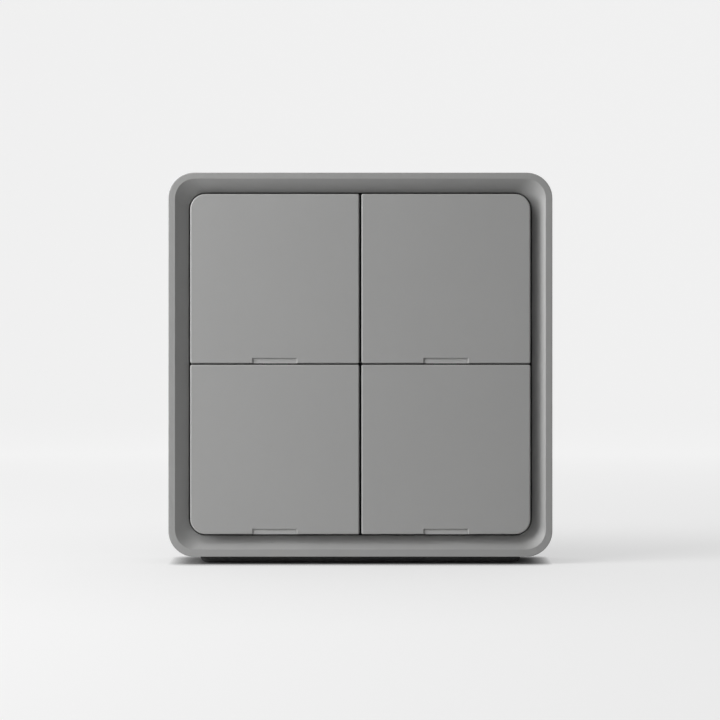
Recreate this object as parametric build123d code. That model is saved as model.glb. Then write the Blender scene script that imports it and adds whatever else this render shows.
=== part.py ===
# Battery-powered wireless light switch: four hinged keys in a dished square frame that a
# magnetic wall plate holds. While modelling, x runs to the right, y up and z is the stand-off
# from the wall towards the room. At export every piece is stood up, so that the keys face -Y,
# +Z is up and the wall's surface is the plane Y = 0. All sizes are in millimetres.
from build123d import *
import math
import os

# Frame: a square ring, dished inside its rim, with sides that narrow towards the room; the dish,
# its opening and the keys sit a little above the frame's centre
frame_side = 86.0
frame_corner = 6.0
side_draft = 1.0
skirt_gap = 0.5
frame_wall = 2.0
rim_land = 1.48
rim_round = 0.18
dish_width = 2.85
dish_depth = 2.4
dish_hollow = 0.12
dish_corner = 4.4
dish_steps = 4
field_rise = 0.14
opening_corner = 3.9
lip_thick = 1.6
pry_slot_length = 10.0
pry_slot_height = 1.5
pry_slot_round = 0.5

# Rubber foot under the frame, let into a shallow pocket
foot_length = 72.0
foot_depth = 10.5
foot_setback = 3.0
foot_stand = 1.45
foot_pocket = 0.65
foot_corner = 2.5
foot_end_round = 1.3

# Keys fill the frame's opening, less these gaps; a notch in each key's lower edge
column_gap = 0.48
row_gap = 0.3
opening_gap = 0.53
key_face = 1.6
key_skirt = 3.7
key_wall = 1.2
key_corner = 3.4
key_inner_corner = 0.4
key_edge_round = 0.32
key_rib = 1.0
notch_width = 9.6
notch_height = 1.02
notch_depth = 0.3
notch_draft = 40.0

# Key hinge: a pin at each upper end, in an open bearing on the carrier
hinge_inset = 3.2
hinge_depth = 2.8
pin_radius = 0.8
pin_clearance = 0.05
bearing_inset = 2.9
bearing_width = 1.4
bearing_wall = 0.4
bearing_mouth = 1.3
ear_thick = 1.0
ear_gap = 0.3

# Key actuator post and retaining hooks
post_arm = 14.0
post_radius = 1.5
post_tip_bevel = 0.5
post_gap = 0.05
hook_offset = 11.0
hook_width = 3.0
hook_stem = 1.2
hook_barb = 0.8
hook_barb_height = 0.9
hook_lead = 0.3
hook_gap = 0.05
slot_clearance = 0.25

# Indicator window: a light guide in each key's notch
window_fit = 0.05
window_flange = 1.2
window_flange_thick = 0.8

# Carrier plate between the keys and the circuit board
carrier_thick = 1.2
carrier_rim = 1.8
carrier_gap = 0.2
key_rise = 0.9
carrier_rib = 1.0
carrier_rib_drop = 1.2
carrier_rib_offset = 11.2
light_slot_width = 6.0
light_slot_height = 1.6

# Rear housing: a tray behind the circuit board
housing_wall = 1.6
housing_floor = 1.2
board_ledge = 1.3
board_ledge_length = 8.0
board_ledge_inset = 20.7
snap_proud = 0.45
snap_height = 1.6
snap_length = 9.0
snap_inset = 15.0
snap_level = 6.2
snap_clearance = 0.1
peg_radius = 2.0
peg_length = 1.2
peg_inset = 10.5
peg_clearance = 0.2

# Screws that draw housing and carrier together
screw_inset = 5.3
screw_radius = 0.95
screw_head_radius = 1.9
screw_head_height = 1.3
screw_recess = 0.5
screw_cross = 2.3
screw_clearance = 0.1
screw_bite = 2.2
screw_end_gap = 0.3
post_wall = 1.5

# Coin cell and its door
cell_radius = 12.25
cell_thick = 3.0
cell_cap_radius = 11.1
cell_cap_height = 0.35
cell_clearance = 0.3
cell_gap = 0.1
ring_wall = 1.2
door_thick = 1.4
door_step = 0.85
door_clearance = 0.1
door_lug = 1.2
door_lug_thick = 0.65
door_lug_angle = 20.0
door_lugs = 3
door_entry_margin = 2.0
door_turn = 40.0
door_flange = 1.7
coin_slot_length = 14.0
coin_slot_width = 1.8
coin_slot_depth = 0.7
contact_thick = 0.22
contact_width = 5.0
contact_disc_radius = 4.0
contact_fingers = 3
contact_finger_width = 1.6

# Circuit board and what is soldered to it
board_thick = 1.2
board_clearance = 0.5
contact_space = 0.3
tact_side = 6.0
tact_base_height = 1.5
tact_cover_thick = 0.3
tact_leg_width = 2.0
tact_stem_radius = 1.7
tact_stem_proud = 0.8
tact_flange_radius = 2.3
tact_flange_thick = 0.5
tact_pocket_radius = 2.6
tact_pocket_floor = 0.4
tact_stem_clearance = 0.15
tact_flange_gap = 0.1
carrier_over_tact = 0.3
led_size = (1.6, 0.8, 0.6)
led_round = 0.12
radio_board_size = (12.0, 16.0, 0.8)
radio_contacts = 6
radio_contact_pitch = 2.0
radio_contact_radius = 0.25
radio_inset = 12.7
shield_size = (10.4, 9.0, 1.1)
shield_wall = 0.2
antenna_track = 0.5
antenna_pitch = 1.3
antenna_height = 3.6
antenna_thick = 0.12
chip_size = (5.0, 5.0, 0.85)
chip_place = (0.0, 2.0)
crystal_size = (3.2, 2.5, 0.7)
crystal_below_chip = 16.0
passive_size = (1.0, 0.5, 0.5)
passive_pitch = 2.0
passives_below_chip = (21.0, 23.5)
passives_per_row = 6

# Pairing button on the housing's back, and its switch under the board
pairing_inset = (24.7, 11.7)
pairing_radius = 2.5
pairing_clearance = 0.15
pairing_recess = 0.1
pairing_flange = 0.9
pairing_flange_thick = 0.7
pairing_collar_wall = 1.0
pairing_stem_radius = 1.1
pairing_gap = 0.05
pairing_switch_side = 4.5
pairing_switch_height = 1.5
pairing_stem_proud = 0.4
pairing_travel = 0.3

# Wall plate, its magnets and steel discs, pads and screw slots
plate_thick = 2.0
plate_bevel = 0.4
plate_clearance = 0.5
plate_gap = 0.1
magnet_radius = 5.0
magnet_thick = 1.6
magnet_inset = (14.5, 20.5)
magnet_fit = 0.05
magnet_bevel = 0.15
magnet_cover = 1.0
disc_radius = 6.0
disc_thick = 0.8
pad_width = 10.0
pad_end_inset = 9.5
pad_thick = 0.8
pad_corner = 1.5
pad_inset = 26.5
pad_fit = 0.1
pad_bed = 0.05
slot_spacing = 60.0
slot_width = 4.2
slot_length = 8.4
head_relief_depth = 2.2
head_relief_margin = 3.0
head_relief_wall = 1.0

# Stack-up from the wall to the key faces
housing_back = plate_thick + plate_gap
floor_top = housing_back + housing_floor
cell_back = housing_back + door_thick + cell_gap
cell_front = cell_back + cell_thick
board_back = cell_front + contact_space
board_front = board_back + board_thick
tact_cover_back = board_front + tact_base_height
tact_front = tact_cover_back + tact_cover_thick
stem_front = tact_front + tact_stem_proud
carrier_back = tact_front + carrier_over_tact
carrier_front = carrier_back + carrier_thick
skirt_end = carrier_front + key_rise
face_front = skirt_end + key_skirt
face_back = face_front - key_face
hinge_level = face_front - hinge_depth
dish_floor = face_front - dish_depth
lip_back = dish_floor - lip_thick

# Plan sizes that follow from the driving ones
draft_in = (face_front - skirt_gap) * math.tan(math.radians(side_draft))
front_side = frame_side - 2 * draft_in
opening_side = front_side - 2 * (rim_land + dish_width)
key_width = (opening_side - 2 * opening_gap - column_gap) / 2
key_height = (opening_side - 2 * opening_gap - row_gap) / 2
bearing_offset = key_width / 2 - bearing_inset
cavity_side = frame_side - 2 * frame_wall
cavity_corner = frame_corner - frame_wall
housing_side = cavity_side - 2 * carrier_gap
housing_corner = cavity_corner - carrier_gap
board_side = housing_side - 2 * housing_wall - 2 * board_clearance
plate_side = cavity_side - 2 * plate_clearance
plate_corner = cavity_corner - plate_clearance
snap_place = cavity_side / 2 - snap_inset
screw_place = housing_side / 2 - screw_inset
board_ledge_place = board_side / 2 - board_ledge_inset
radio_place = (0.0, board_side / 2 - radio_inset)
crystal_place = (chip_place[0], chip_place[1] - crystal_below_chip)
passive_rows = [chip_place[1] - drop for drop in passives_below_chip]
pairing_place = (board_side / 2 - pairing_inset[0], pairing_inset[1] - board_side / 2)
peg_place = plate_side / 2 - peg_inset
magnet_place = (plate_side / 2 - magnet_inset[0], plate_side / 2 - magnet_inset[1])
pad_length = plate_side - 2 * pad_end_inset
pad_place = plate_side / 2 - pad_inset
foot_front = face_front - foot_setback
foot_back = foot_front - foot_depth
foot_seat = frame_side / 2 - foot_pocket
floor_line = frame_side / 2 + foot_stand
post_tip = stem_front + post_gap
door_radius = cell_radius + cell_clearance + door_step
pairing_head = pairing_radius + pairing_flange
pairing_switch_back = board_back - pairing_switch_height
pairing_stem_back = pairing_switch_back - pairing_stem_proud

KEYS = {"top_left": (-1, 1), "top_right": (1, 1), "bottom_left": (-1, -1), "bottom_right": (1, -1)}
CORNERS = [(-1, -1), (-1, 1), (1, -1), (1, 1)]


def slab(width, height, low, high, x=0.0, y=0.0):
    return Pos(x, y, low) * extrude(Rectangle(width, height), amount=high - low)


def rounded_slab(width, height, corner, low, high, x=0.0, y=0.0):
    return Pos(x, y, low) * extrude(RectangleRounded(width, height, corner), amount=high - low)


def disc(radius, low, high, x=0.0, y=0.0):
    return Pos(x, y, low) * extrude(Circle(radius), amount=high - low)


def long_slot(length, width, low, high, x=0.0, y=0.0):
    return Pos(x, y, low) * extrude(SlotOverall(length, width), amount=high - low)


def side_profile(points, width, x=0.0):
    """A profile drawn in y and z, extruded along x about the given place."""
    return Pos(x, 0, 0) * extrude(Plane.YZ * Polygon(*points, align=None), amount=width / 2, both=True)


def at_corners(piece, place_x, place_y):
    """Four copies of a piece as one group of separate solids."""
    return Part() + [Pos(side * place_x, row * place_y, 0) * piece for side, row in CORNERS]


def key_centre(side, row):
    return side * (column_gap + key_width) / 2, field_rise + row * (row_gap + key_height) / 2


def hinge_y(row):
    return key_centre(1, row)[1] + key_height / 2 - hinge_inset


def post_y(row):
    return hinge_y(row) - post_arm


def window_y(row):
    return key_centre(1, row)[1] - key_height / 2 + notch_height / 2


def snap_ribs(proud, height):
    """Eight wedge ribs on the four inner walls of the frame, standing proud of them."""
    wall = cavity_side / 2
    wedge = [(wall, snap_level - height / 2), (wall - proud, snap_level), (wall, snap_level + height / 2)]
    ribs = Part()
    for quarter in range(4):
        for along in (-snap_place, snap_place):
            length = snap_length + 2 * (proud - snap_proud)
            rib = extrude(Plane.XZ * Polygon(*wedge, align=None), amount=length / 2, both=True)
            ribs += Rot(0, 0, 90 * quarter) * Pos(0, along, 0) * rib
    return ribs


def dish_cutter():
    """The dish's slope from opening to rim, slightly hollow: lofted rounded squares."""
    slope = math.hypot(dish_width, dish_depth)
    sections = []
    for step in range(dish_steps + 1):
        share = step / dish_steps
        sag = 4 * dish_hollow * share * (1 - share)
        out = dish_width * share + sag * dish_depth / slope
        up = dish_depth * share - sag * dish_width / slope
        side = opening_side + 2 * out
        corner = opening_corner + (dish_corner - opening_corner) * out / dish_width
        sections.append(Pos(0, field_rise, dish_floor + up) * RectangleRounded(side, side, corner))
    return loft(sections)


def foot_block(length, depth, corner, low, high):
    """A bar along x whose plan corners are rounded; low and high are its ends in y."""
    middle = (foot_front + foot_back) / 2
    plan = Plane.XZ * Pos(0, middle) * RectangleRounded(length, depth, corner)
    return Pos(0, high, 0) * extrude(plan, amount=high - low)


def front_frame():
    block = Pos(0, 0, skirt_gap) * extrude(
        RectangleRounded(frame_side, frame_side, frame_corner),
        amount=face_front - skirt_gap, taper=side_draft)
    block = fillet(block.faces().sort_by(Axis.Z)[-1].edges(), rim_round)
    block -= dish_cutter()
    block -= rounded_slab(opening_side, opening_side, opening_corner, lip_back, dish_floor, 0, field_rise)
    block -= rounded_slab(cavity_side, cavity_side, cavity_corner, skirt_gap, lip_back)
    block += snap_ribs(snap_proud, snap_height)
    pry = slab(pry_slot_length, 2 * frame_wall, skirt_gap, skirt_gap + pry_slot_height, 0, -frame_side / 2)
    block -= fillet(pry.edges().filter_by(Axis.Y).sort_by(Axis.Z)[-2:], pry_slot_round)
    clear = pad_fit
    block -= foot_block(foot_length + 2 * clear, foot_depth + 2 * clear, foot_corner + clear,
                        -floor_line, -foot_seat)
    return block


def foot_strip():
    strip = foot_block(foot_length, foot_depth, foot_corner, -floor_line, -foot_seat)
    ends = strip.faces().sort_by(Axis.Y)[0].edges()
    return fillet(ends, foot_end_round)


def key_outline(side, row, inset=0.0):
    """A key's plan: small corners, and one large one where the key fills the frame's corner."""
    width = key_width - 2 * inset
    height = key_height - 2 * inset
    small = RectangleRounded(width, height, max(key_inner_corner - inset, key_inner_corner / 2))
    large = RectangleRounded(2 * width, 2 * height, max(key_corner - inset, key_inner_corner))
    return small & Pos(-side * width / 2, -row * height / 2) * large


def key_cap(side, row):
    """A hollow cap, centred on its own plan; the notch in its lower edge flares to the face."""
    cap = Pos(0, 0, skirt_end) * extrude(key_outline(side, row), amount=key_skirt)
    cap = fillet(cap.faces().sort_by(Axis.Z)[-1].edges(), key_edge_round)
    cap -= Pos(0, 0, skirt_end) * extrude(key_outline(side, row, key_wall), amount=key_skirt - key_face)
    low_edge = -key_height / 2
    cap -= slab(notch_width, 2 * key_wall, skirt_end, face_back, 0, low_edge)
    cap -= slab(notch_width, 2 * notch_height, face_back, face_front, 0, low_edge)
    mouth = extrude(Rectangle(notch_width, 2 * notch_height), amount=notch_depth, taper=-notch_draft)
    return cap - Pos(0, low_edge, face_front - notch_depth) * mouth


def key_hinge():
    """Both hinge pins, each between the key's side wall and an ear."""
    y = key_height / 2 - hinge_inset
    ear_centre = bearing_offset - bearing_width / 2 - ear_gap - ear_thick / 2
    pin_end = (key_width - key_wall) / 2
    hinge = Part()
    for end in (-1, 1):
        ear = slab(ear_thick, 2 * (pin_radius + bearing_wall), hinge_level, face_back, end * ear_centre, y)
        ear += Pos(end * ear_centre, y, hinge_level) * Rot(0, 90, 0) * Cylinder(
            pin_radius + bearing_wall, ear_thick)
        reach = pin_end - ear_centre
        middle = end * (pin_end + ear_centre) / 2
        hinge += ear + Pos(middle, y, hinge_level) * Rot(0, 90, 0) * Cylinder(pin_radius, reach)
    return hinge


def key_post():
    """The post that presses the switch under the key, with stiffening ribs on the key's back."""
    y = key_height / 2 - hinge_inset - post_arm
    post = disc(post_radius, post_tip, face_back, 0, y)
    post = chamfer(post.edges().sort_by(Axis.Z)[0], post_tip_bevel)
    rib_low = face_back - key_rib
    across = slab(key_width - key_wall, key_rib, rib_low, face_back, 0, y)
    below = key_height / 2 - key_wall - window_flange - window_flange_thick
    above = key_height / 2 - key_wall
    along = slab(key_rib, below + above, rib_low, face_back, 0, (above - below) / 2)
    return post + across + along


def key_hook():
    """One retaining hook behind the key's lower edge; its barb catches under the carrier."""
    root = -key_height / 2 + key_wall
    stem = root + hook_stem
    catch = carrier_back - hook_gap
    tip = catch - hook_barb_height
    profile = [(root, face_back), (root, tip), (root + hook_stem / 2, tip),
               (stem + hook_barb, catch - hook_lead), (stem + hook_barb, catch),
               (stem, catch), (stem, face_back)]
    return side_profile(profile, hook_width)


def key(side, row):
    body = key_cap(side, row) + key_hinge() + key_post()
    for x in (-hook_offset, hook_offset):
        body += Pos(x, 0, 0) * key_hook()
    return Pos(*key_centre(side, row), 0) * body


def indicator_window(side, row):
    """A light guide: it fills the notch below the key's face and is flanged behind the skirt."""
    x, y = key_centre(side, row)
    low_edge = y - key_height / 2
    width = notch_width - 2 * window_fit
    height = notch_height - window_fit
    guide = slab(width, height, skirt_end, face_front - notch_depth, x, low_edge + height / 2)
    behind = key_wall + window_fit
    web = slab(width, behind, skirt_end, face_back - window_fit, x, low_edge + behind / 2)
    flange = slab(notch_width + 2 * window_flange, window_flange_thick, skirt_end,
                  face_back - window_fit, x, low_edge + behind + window_flange_thick / 2)
    return guide + web + flange


def bearing(x, y):
    """An open bearing on the carrier, into which a key's hinge pin snaps."""
    bore = pin_radius + pin_clearance
    outer = bore + bearing_wall
    top = hinge_level + bore / 2
    tower = slab(bearing_width, 2 * outer, carrier_front, top, x, y)
    tower -= Pos(x, y, hinge_level) * Rot(0, 90, 0) * Cylinder(bore, 2 * bearing_width)
    return tower - slab(2 * bearing_width, bearing_mouth, hinge_level, top, x, y)


def carrier_openings():
    """Holes under every key: for the post, for the two hooks and for the indicator's light."""
    holes = Part()
    for side, row in KEYS.values():
        x, y = key_centre(side, row)
        hook_low = y - key_height / 2 + key_wall - slot_clearance
        hook_high = hook_low + hook_stem + 2 * slot_clearance
        holes += disc(tact_flange_radius + slot_clearance, carrier_back, carrier_front, x, post_y(row))
        holes += long_slot(light_slot_width, light_slot_height, carrier_back, carrier_front, x, window_y(row))
        for along in (-hook_offset, hook_offset):
            holes += slab(hook_width + 2 * slot_clearance, hook_high - hook_low, carrier_back,
                          carrier_front, x + along, (hook_low + hook_high) / 2)
    return holes


def key_carrier():
    plate = rounded_slab(housing_side, housing_side, housing_corner, carrier_back, lip_back)
    well = housing_side - 2 * carrier_rim
    plate -= rounded_slab(well, well, housing_corner - carrier_rim / 2, carrier_front, lip_back)
    for row in (-1, 1):
        plate += slab(board_side - 2 * carrier_rim, carrier_rib, carrier_back - carrier_rib_drop,
                      carrier_back, 0, post_y(row) - carrier_rib_offset)
    for side, row in CORNERS:
        plate += disc(screw_radius + post_wall, pillar_seat(), carrier_back,
                      side * screw_place, row * screw_place)
    plate -= carrier_openings()
    for side, row in KEYS.values():
        for end in (-bearing_offset, bearing_offset):
            plate += bearing(key_centre(side, row)[0] + end, hinge_y(row))
    bore = screw_radius + screw_clearance
    for side, row in CORNERS:
        plate -= disc(bore, pillar_seat(), pillar_seat() + screw_bite + screw_end_gap,
                      side * screw_place, row * screw_place)
    return plate


def pillar_seat():
    """Where the carrier's corner pillars stand on the housing's screw posts."""
    return board_front + slot_clearance


def corner_post_radius():
    return screw_head_radius + screw_clearance + post_wall / 2


def circuit_board():
    board = slab(board_side, board_side, board_back, board_front)
    clear = corner_post_radius() + board_clearance
    for side, row in CORNERS:
        x, y = side * screw_place, row * screw_place
        board -= disc(clear, board_back, board_front, x, y)
        reach = board_side
        board -= slab(reach, reach, board_back, board_front, x + side * reach / 2, y + row * reach / 2)
        board -= slab(reach, clear, board_back, board_front, x + side * reach / 2, y - row * clear / 2)
        board -= slab(clear, reach, board_back, board_front, x - side * clear / 2, y + row * reach / 2)
    return board


def tact_place(side, row):
    return Pos(key_centre(side, row)[0], post_y(row), 0)


def tact_base(side, row):
    base = slab(tact_side, tact_side, board_front, tact_cover_back)
    base = chamfer(base.edges().filter_by(Axis.Z), tact_cover_thick)
    base -= disc(tact_pocket_radius, board_front + tact_pocket_floor, tact_cover_back)
    return tact_place(side, row) * base


def tact_cover(side, row):
    """A steel lid with a leg folded down over each side of the switch."""
    lid = slab(tact_side - 2 * tact_cover_thick, tact_side, tact_cover_back, tact_front)
    lid -= disc(tact_stem_radius + tact_stem_clearance, tact_cover_back, tact_front)
    for end in (-1, 1):
        leg_y = end * (tact_side + tact_cover_thick) / 2
        lid += slab(tact_leg_width, tact_cover_thick, board_front + tact_pocket_floor, tact_front, 0, leg_y)
    return tact_place(side, row) * lid


def tact_plunger(side, row):
    flange_front = tact_cover_back - tact_flange_gap
    stem = disc(tact_stem_radius, flange_front - tact_flange_thick, stem_front)
    stem = chamfer(stem.edges().sort_by(Axis.Z)[-1], tact_flange_gap)
    stem += disc(tact_flange_radius, flange_front - tact_flange_thick, flange_front)
    return tact_place(side, row) * stem


def status_led(side, row):
    length, width, height = led_size
    x = key_centre(side, row)[0]
    body = slab(length, width, board_front, board_front + height, x, window_y(row))
    return fillet(body.faces().sort_by(Axis.Z)[-1].edges(), led_round)


def radio_board():
    width, length, thick = radio_board_size
    board = slab(width, length, board_front, board_front + thick, *radio_place)
    for index in range(radio_contacts):
        y = radio_place[1] - length / 2 + (index + 1) * radio_contact_pitch
        for side in (-1, 1):
            x = radio_place[0] + side * width / 2
            board -= disc(radio_contact_radius, board_front, board_front + thick, x, y)
    return board


def radio_shield():
    width, length, height = shield_size
    low = board_front + radio_board_size[2]
    y = radio_place[1] - (radio_board_size[1] - length) / 2 + shield_wall * 2
    can = slab(width, length, low, low + height, radio_place[0], y)
    can = fillet(can.edges().filter_by(Axis.Z), 2 * shield_wall)
    inner = slab(width - 2 * shield_wall, length - 2 * shield_wall, low, low + height - shield_wall,
                 radio_place[0], y)
    return can - inner


def radio_antenna():
    """A meandering copper track at the end of the radio board."""
    low = board_front + radio_board_size[2]
    high = low + antenna_thick
    top = radio_place[1] + radio_board_size[1] / 2 - antenna_track
    bottom = top - antenna_height
    turns = 2 * int((radio_board_size[0] / 2 - antenna_track) / antenna_pitch)
    left = radio_place[0] - turns * antenna_pitch / 2
    track = Part()
    for index in range(turns + 1):
        x = left + index * antenna_pitch
        track += slab(antenna_track, antenna_height, low, high, x, (top + bottom) / 2)
        if index < turns:
            y = (top - antenna_track / 2) if index % 2 == 0 else (bottom + antenna_track / 2)
            track += slab(antenna_pitch + antenna_track, antenna_track, low, high, x + antenna_pitch / 2, y)
    return track


def controller_chip():
    length, width, height = chip_size
    return slab(length, width, board_front, board_front + height, *chip_place)


def crystal():
    length, width, height = crystal_size
    can = slab(length, width, board_front, board_front + height, *crystal_place)
    return fillet(can.edges().filter_by(Axis.Z), height / 2)


def passives():
    length, width, height = passive_size
    group = []
    for y in passive_rows:
        for index in range(passives_per_row):
            x = (index - (passives_per_row - 1) / 2) * passive_pitch
            group.append(slab(length, width, board_front, board_front + height, x, y))
    return Part() + group


def coin_cell():
    """A lithium coin: a full-width can with the smaller negative cap towards the board."""
    rim = cell_front - cell_cap_height
    can = disc(cell_radius, cell_back, rim)
    can = chamfer(can.edges(), cell_cap_height)
    cap = disc(cell_cap_radius, rim, cell_front)
    return can + chamfer(cap.edges().sort_by(Axis.Z)[-1], cell_cap_height / 2)


def contact_negative():
    """A disc with sprung fingers between the board and the cell's cap."""
    high = board_back
    leaf = disc(contact_disc_radius, high - contact_thick, high)
    arm = slab(2 * contact_disc_radius, contact_finger_width, high - contact_thick, high,
               contact_disc_radius, 0)
    for finger in range(contact_fingers):
        leaf += Rot(0, 0, 90 + 360 * finger / contact_fingers) * arm
    return leaf


def contact_positive():
    """A bent strip that grips the cell's side and is soldered under the board."""
    gap = (cell_clearance - contact_thick) / 2
    inner = cell_radius + gap
    upright = slab(contact_thick, contact_width, cell_back + cell_gap, board_back,
                   inner + contact_thick / 2, 0)
    foot_reach = ring_wall + contact_width / 2
    foot = slab(foot_reach, contact_width, board_back - contact_thick, board_back, inner + foot_reach / 2, 0)
    return upright + foot


def sector(inner, outer, low, high, start, sweep):
    """Part of a ring, from start degrees over sweep degrees about the switch's centre."""
    ring = Plane.XZ * Pos((inner + outer) / 2, (low + high) / 2) * Rectangle(outer - inner, high - low)
    return Rot(0, 0, start) * revolve(ring, Axis.Z, revolution_arc=sweep)


def battery_door():
    high = housing_back + door_thick
    door = disc(door_radius, housing_back, high)
    door = chamfer(door.edges().sort_by(Axis.Z)[0], door_clearance)
    lug_low = high - door_lug_thick
    for lug in range(door_lugs):
        start = 360 * lug / door_lugs - door_lug_angle / 2
        door += sector(door_radius - door_lug, door_radius + door_lug, lug_low, high, start, door_lug_angle)
    door -= long_slot(coin_slot_length, coin_slot_width, housing_back, housing_back + coin_slot_depth)
    return door


def door_recess():
    """The door's seat in the housing, its lug groove, and the notches where its lugs enter."""
    high = housing_back + door_thick + door_clearance
    groove_low = housing_back + door_thick - door_lug_thick - door_clearance
    edge = door_radius + door_clearance
    outer = door_radius + door_lug + door_clearance
    recess = disc(edge, housing_back, high)
    recess += disc(outer, groove_low, high)
    entry = door_lug_angle + 2 * door_entry_margin
    for lug in range(door_lugs):
        start = 360 * lug / door_lugs + door_turn - entry / 2
        recess += sector(door_radius, outer, housing_back, high, start, entry)
    return recess


def housing_bosses():
    """Everything that stands on the housing's floor inside."""
    ring = cell_radius + cell_clearance
    bosses = disc(ring + ring_wall, housing_back, board_back - contact_thick - cell_gap)
    flange = door_radius + door_lug + door_flange
    bosses += disc(flange, housing_back, housing_back + door_thick + ring_wall)
    for side, row in CORNERS:
        x, y = side * screw_place, row * screw_place
        bosses += disc(corner_post_radius(), housing_back, pillar_seat(), x, y)
        x, y = side * magnet_place[0], row * magnet_place[1]
        bosses += disc(magnet_radius + magnet_cover, housing_back,
                       housing_back + magnet_thick + magnet_cover, x, y)
    bosses += head_reliefs(head_relief_wall)
    collar = pairing_head + pairing_clearance + pairing_collar_wall
    bosses += disc(collar, housing_back, pairing_collar_top(), *pairing_place)
    return bosses


def housing_hollows():
    """Everything cut into the housing's floor and bosses."""
    ring = cell_radius + cell_clearance
    cuts = door_recess() + disc(ring, housing_back, board_back)
    bore = screw_radius + screw_clearance
    head = screw_head_radius + screw_clearance
    for side, row in CORNERS:
        x, y = side * screw_place, row * screw_place
        cuts += disc(bore, housing_back, pillar_seat(), x, y)
        cuts += disc(head, housing_back, screw_seat(), x, y)
        x, y = side * magnet_place[0], row * magnet_place[1]
        cuts += disc(magnet_radius + magnet_fit, housing_back, housing_back + magnet_thick + magnet_fit, x, y)
    cuts += head_reliefs(0.0)
    cuts += disc(pairing_radius + pairing_clearance, housing_back, board_back, *pairing_place)
    cuts += disc(pairing_head + pairing_clearance, floor_top, board_back, *pairing_place)
    strip = contact_width + 2 * slot_clearance
    cuts += slab(2 * ring_wall + strip, strip, cell_back + cell_gap - slot_clearance, board_back,
                 ring + (2 * ring_wall + strip) / 2 - ring_wall, 0)
    return cuts


def head_reliefs(wall):
    """The two pockets that clear the wall screws' heads, grown by a wall, between the side walls."""
    margin = 2 * (head_relief_margin + wall)
    top = housing_back + head_relief_depth + wall
    inner = housing_side - 2 * housing_wall
    pockets = Part()
    for side in (-1, 1):
        pockets += long_slot(slot_length + margin, slot_width + margin, housing_back, top,
                             side * slot_spacing / 2, 0)
    return pockets & slab(inner, inner, housing_back, top)


def screw_seat():
    return housing_back + screw_recess + screw_head_height


def pairing_collar_top():
    return pairing_switch_back - pairing_stem_proud / 2


def board_ledges():
    """Two short ledges on each wall, on which the board's edges lie."""
    inner = housing_side / 2 - housing_wall
    ledges = Part()
    for quarter in range(4):
        for along in (-board_ledge_place, board_ledge_place):
            ledge = slab(board_ledge, board_ledge_length, housing_back, board_back,
                         inner - board_ledge / 2, along)
            ledges += Rot(0, 0, 90 * quarter) * ledge
    return ledges


def rear_housing():
    tray = rounded_slab(housing_side, housing_side, housing_corner, housing_back, carrier_back)
    inner = housing_side - 2 * housing_wall
    tray -= rounded_slab(inner, inner, housing_corner - housing_wall, floor_top, carrier_back)
    tray += board_ledges() + housing_bosses()
    tray -= housing_hollows()
    tray -= snap_ribs(snap_proud + snap_clearance, snap_height + 2 * snap_clearance)
    for end in (-1, 1):
        peg = disc(peg_radius, housing_back - peg_length, housing_back, 0, end * peg_place)
        tray += chamfer(peg.edges().sort_by(Axis.Z)[0], peg_clearance)
    return tray


def housing_screws():
    """Four self-tapping screws with recessed heads, from the housing's back into the carrier."""
    seat = screw_seat()
    head = disc(screw_head_radius, seat - screw_head_height, seat)
    head = chamfer(head.edges().sort_by(Axis.Z)[0], screw_recess / 2)
    for angle in (0, 90):
        cross = slab(screw_cross, screw_recess, seat - screw_head_height, seat - screw_recess)
        head -= Rot(0, 0, angle) * cross
    shank = disc(screw_radius, seat, pillar_seat() + screw_bite)
    screw = head + chamfer(shank.edges().sort_by(Axis.Z)[-1], screw_radius / 2)
    return at_corners(screw, screw_place, screw_place)


def pairing_button():
    flange_low = floor_top + pairing_clearance
    flange_high = flange_low + pairing_flange_thick
    cap = disc(pairing_radius, housing_back + pairing_recess, flange_high)
    cap = chamfer(cap.edges().sort_by(Axis.Z)[0], pairing_clearance)
    cap += disc(pairing_head, flange_low, flange_high)
    cap += disc(pairing_stem_radius, flange_high, pairing_stem_back - pairing_gap)
    return Pos(*pairing_place, 0) * cap


def pairing_switch():
    base = slab(pairing_switch_side, pairing_switch_side, pairing_switch_back, board_back)
    base = chamfer(base.edges().filter_by(Axis.Z), tact_cover_thick)
    base -= disc(pairing_stem_radius + pairing_clearance, pairing_switch_back,
                 board_back - pairing_stem_proud)
    return Pos(*pairing_place, 0) * base


def pairing_plunger():
    high = board_back - pairing_stem_proud - pairing_travel - pairing_gap
    stem = disc(pairing_stem_radius, pairing_stem_back, high)
    return Pos(*pairing_place, 0) * chamfer(stem.edges().sort_by(Axis.Z)[0], pairing_clearance)


def holding_magnets():
    magnet = disc(magnet_radius, housing_back, housing_back + magnet_thick)
    magnet = chamfer(magnet.edges(), magnet_bevel)
    return at_corners(magnet, *magnet_place)


def steel_discs():
    plate = disc(disc_radius, plate_thick - disc_thick, plate_thick)
    return at_corners(plate, *magnet_place)


def wall_plate():
    plate = rounded_slab(plate_side, plate_side, plate_corner, 0, plate_thick)
    plate = chamfer(plate.faces().sort_by(Axis.Z)[-1].edges(), plate_bevel)
    for side in (-1, 1):
        plate -= long_slot(slot_length, slot_width, 0, plate_thick, side * slot_spacing / 2, 0)
        plate -= disc(peg_radius + peg_clearance, 0, plate_thick, 0, side * peg_place)
        plate -= rounded_slab(pad_width + 2 * pad_fit, pad_length + 2 * pad_fit, pad_corner + pad_fit,
                              0, pad_thick + pad_bed, side * pad_place)
    for side, row in CORNERS:
        x, y = side * magnet_place[0], row * magnet_place[1]
        plate -= disc(disc_radius + magnet_fit, plate_thick - disc_thick, plate_thick, x, y)
    return plate


def adhesive_pads():
    pad = rounded_slab(pad_width, pad_length, pad_corner, 0, pad_thick)
    return Part() + [Pos(side * pad_place, 0, 0) * pad for side in (-1, 1)]


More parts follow.
